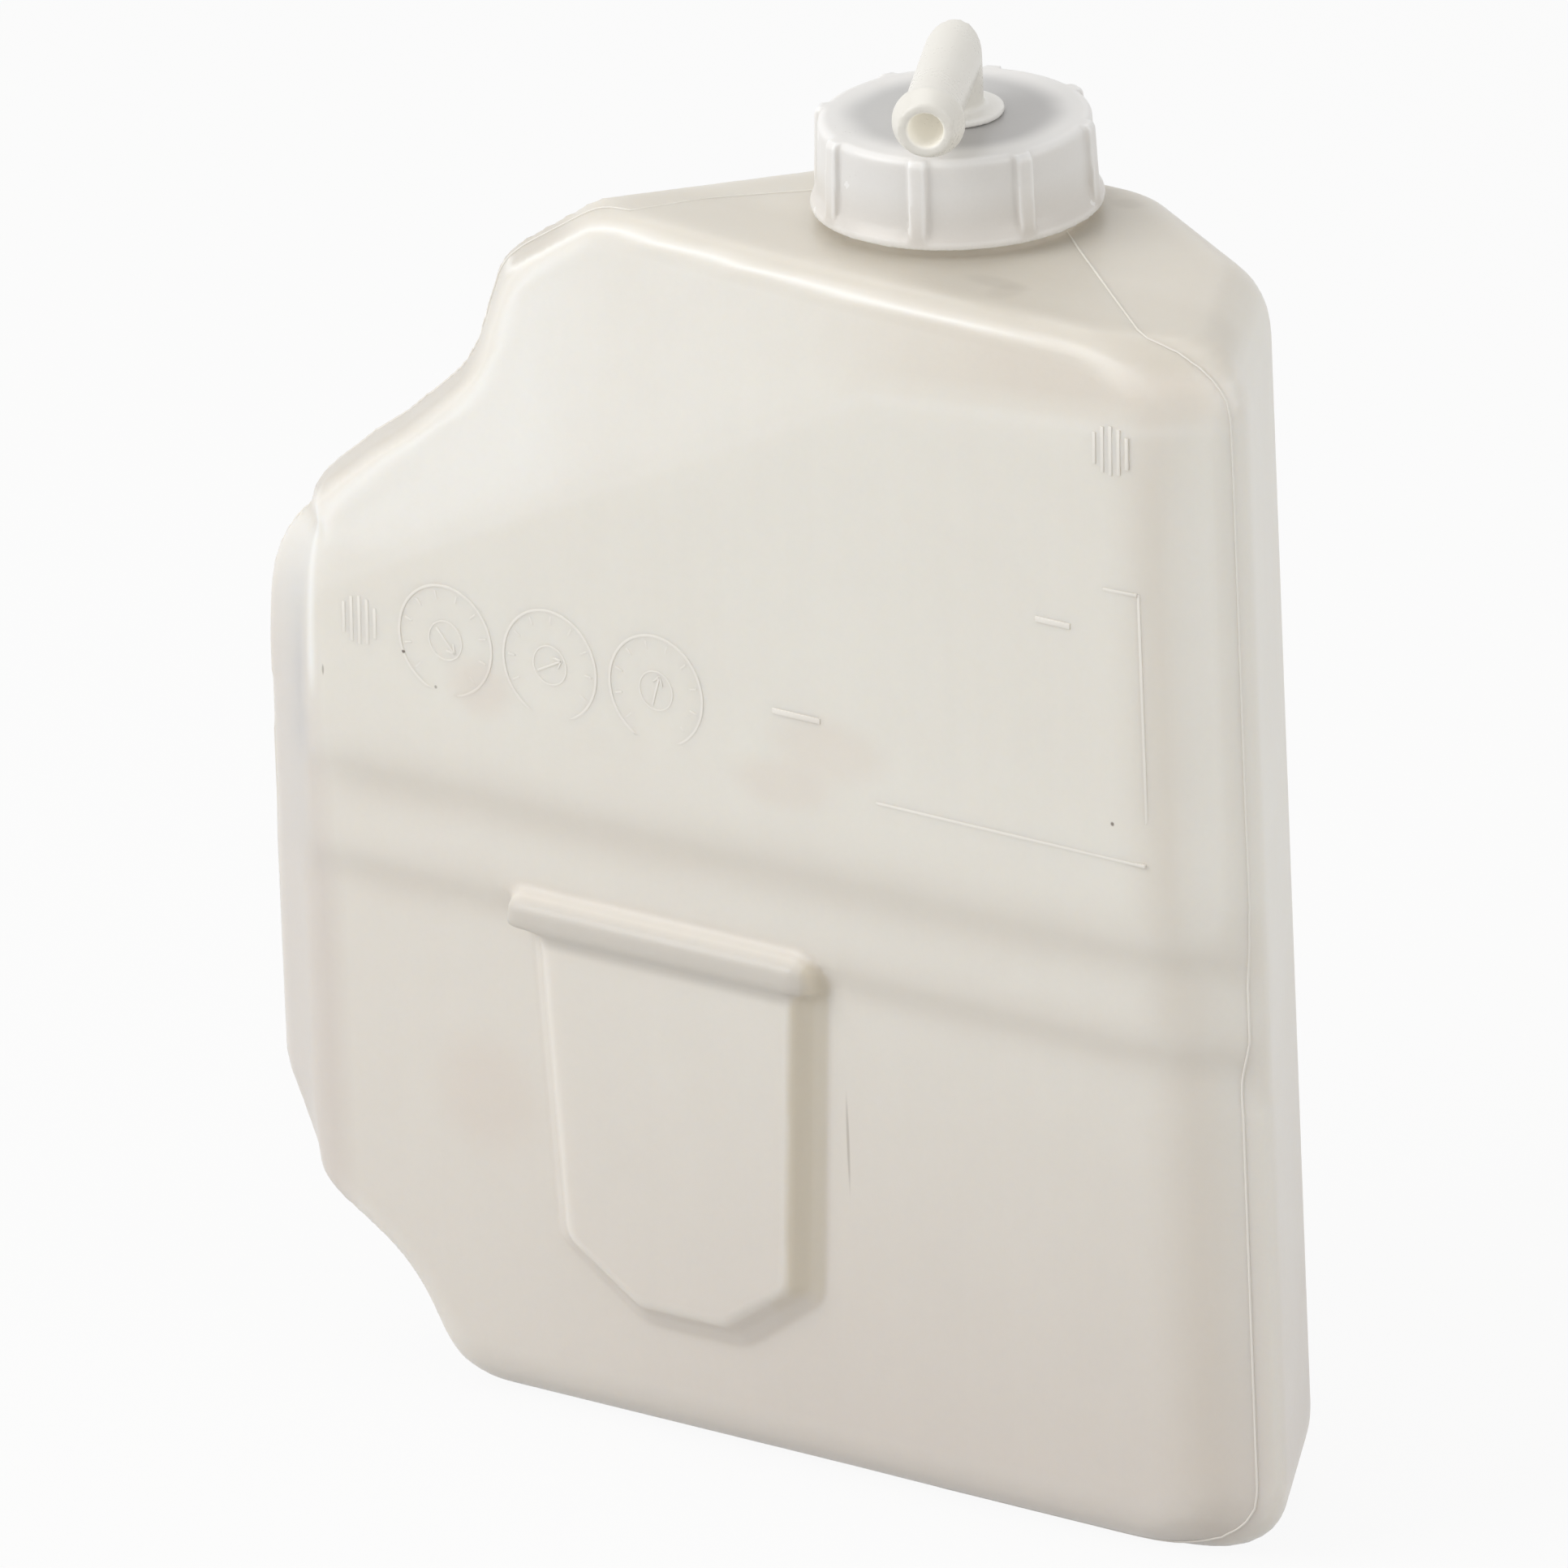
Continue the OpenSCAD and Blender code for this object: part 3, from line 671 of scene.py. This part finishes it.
# The gasket in the cap and the small seal ring on the elbow's spigot: soft grey rubber with a
# dull, slightly powdery face, both pressed into place.
rubber, tree, shader, place, feel = plastic("grey_rubber", 2500, 0.62, 0.35)
colour = tint(tree, feel.outputs["Mottle"], display(112, 112, 110), display(146, 145, 142))
tree.links.new(colour, shader.inputs["Base Color"])
for node in ("cap_gasket", "elbow_seal"):
    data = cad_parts[node].data
    data.materials.clear()
    data.materials.append(rubber)

# The hose elbow: natural cream polyamide, injection moulded and half glossy, with a mitred bend,
# a barb for the overflow hose and a disc that rests on the cap. It snaps into the cap's hole.
ELBOW_VOXEL = 0.00045
ELBOW_AXIS = CAP_HIGH.z + 0.010
ELBOW_TURN = math.radians(-60.3)
elbow = copy_of("hose_elbow", "elbow")
finish_with(elbow, "REMESH", mode="VOXEL", voxel_size=ELBOW_VOXEL, use_smooth_shade=True)
relax(elbow, 3, 3, -0.51)
finish_with(elbow, "SMOOTH", factor=0.5, iterations=2)
alone(elbow)
bpy.ops.object.shade_smooth()
elbow_plastic, tree, shader, place, feel = plastic("cream_polyamide", 1200, 0.3, 0.06)
axis = put(tree, "SeparateXYZ", {0: place}).outputs
cloud = put(tree, "TexNoise", {"Vector": place, "Scale": 120, "Detail": 3}).outputs[0]
colour = tint(tree, ramp(tree, cloud, 0.35, 0.7, 0.4), display(226, 223, 215), display(222, 218, 208))
# Painted light: the disc that rests on the cap is painted paler, lifting the shade it sits in.
disc_light = ramp(tree, axis[2], CAP_HIGH.z + 0.0022, CAP_HIGH.z + 0.0016)
colour = tint(tree, disc_light, colour, display(240, 238, 233))
# Painted glow: an emission in the bore stands in for light that comes through the thin walls.
turned = put(tree, "Mapping", {0: place, 1: (0, 0, -ELBOW_AXIS), 2: (0, 0, -ELBOW_TURN)}).outputs[0]
along = put(tree, "SeparateXYZ", {0: turned}).outputs
inside = masked(tree, ramp(tree, distance(tree, along[1], along[2]), 0.0034, 0.0028),
                ramp(tree, along[0], 0.004, 0.020))
glow(tree, shader, inside, display(140, 138, 132))
tree.links.new(colour, shader.inputs["Base Color"])
elbow.data.materials.append(elbow_plastic)
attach(elbow, "elbow")
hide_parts("hose_elbow")

# The dip tube: a length of extruded natural polyethylene pipe, pushed onto the elbow's lower
# spigot and cut aslant just above the tank's floor.
tube_plastic, tree, shader, place, feel = plastic("tube_polyethylene", 1400, 0.38, 0.15)
drawn = put(tree, "Mapping", {0: place, 3: (900, 900, 6)}).outputs[0]
streak = put(tree, "TexNoise", {"Vector": drawn, "Scale": 1, "Detail": 2}).outputs[0]
colour = tint(tree, ramp(tree, streak, 0.35, 0.65), display(226, 222, 211), display(217, 211, 198))
tree.links.new(colour, shader.inputs["Base Color"])
milky(shader, 0.4, (1.0, 0.9, 0.7), 0.003)
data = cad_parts["dip_tube"].data
data.materials.clear()
data.materials.append(tube_plastic)

# The studio: a wide pale floor that keeps a faint shadow, a white room, three large soft lamps and
# the camera at the photograph's angle. The floor and the room look white only where they are seen.
LAMP_AIM = Vector((-0.02, 0, 0.12))
SEEN_WHITE = 0.92


def seen_directly(tree):
    rays = put(tree, "LightPath").outputs
    seen = sums(tree, "MAXIMUM", rays["Is Camera Ray"], rays["Is Glossy Ray"])
    return sums(tree, "MAXIMUM", seen, rays["Is Transmission Ray"])


bpy.ops.object.select_all(action="DESELECT")
bpy.ops.mesh.primitive_plane_add(size=12)
floor = bpy.context.object
floor.name = "floor"
floor_paint = bpy.data.materials.new("floor_paint")
floor_paint.use_nodes = True
tree = floor_paint.node_tree
paint = tree.nodes["Principled BSDF"]
paint.inputs["Base Color"].default_value = display(205, 204, 202)
paint.inputs["Roughness"].default_value = 0.9
paint.inputs["Specular IOR Level"].default_value = 0.1
white = put(tree, "Emission", {"Color": (1, 1, 1, 1), "Strength": 1.0}).outputs[0]
blend = put(tree, "MixShader", {0: masked(tree, seen_directly(tree), SEEN_WHITE), 1: paint.outputs[0],
                                2: white}).outputs[0]
tree.links.new(blend, tree.nodes["Material Output"].inputs["Surface"])
floor.data.materials.append(floor_paint)

world = bpy.data.worlds.new("room")
bpy.context.scene.world = world
world.use_nodes = True
tree = world.node_tree
background = tree.nodes["Background"]
tree.links.new(ramp(tree, seen_directly(tree), 0, 1, 1.0, 0.5), background.inputs["Strength"])
background.inputs["Color"].default_value = (1, 1, 1, 1)

for name, place, size, watts in (("lamp_front", (-0.75, -1.25, 1.05), 1.2, 16.5),
                                 ("lamp_right", (1.5, 0.1, 0.7), 1.2, 7),
                                 ("lamp_above", (-0.5, 0.1, 1.4), 1.1, 4.5)):
    lamp = bpy.data.objects.new(name, bpy.data.lights.new(name, "AREA"))
    bpy.context.scene.collection.objects.link(lamp)
    lamp.data.shape = "SQUARE"
    lamp.data.size = size
    lamp.data.energy = watts
    lamp.location = place
    lamp.rotation_euler = (LAMP_AIM - Vector(place)).to_track_quat("-Z", "Y").to_euler()

camera = bpy.data.objects.new("camera", bpy.data.cameras.new("camera"))
bpy.context.scene.collection.objects.link(camera)
camera.location = (5.850178, -7.539280, 3.789583)
camera.rotation_euler = (1.20311390, 0.03701631, 0.64910061)
camera.data.sensor_width = 36
camera.data.lens = 1400
camera.data.clip_end = 50
bpy.context.scene.camera = camera
bpy.context.scene.view_settings.view_transform = "Standard"
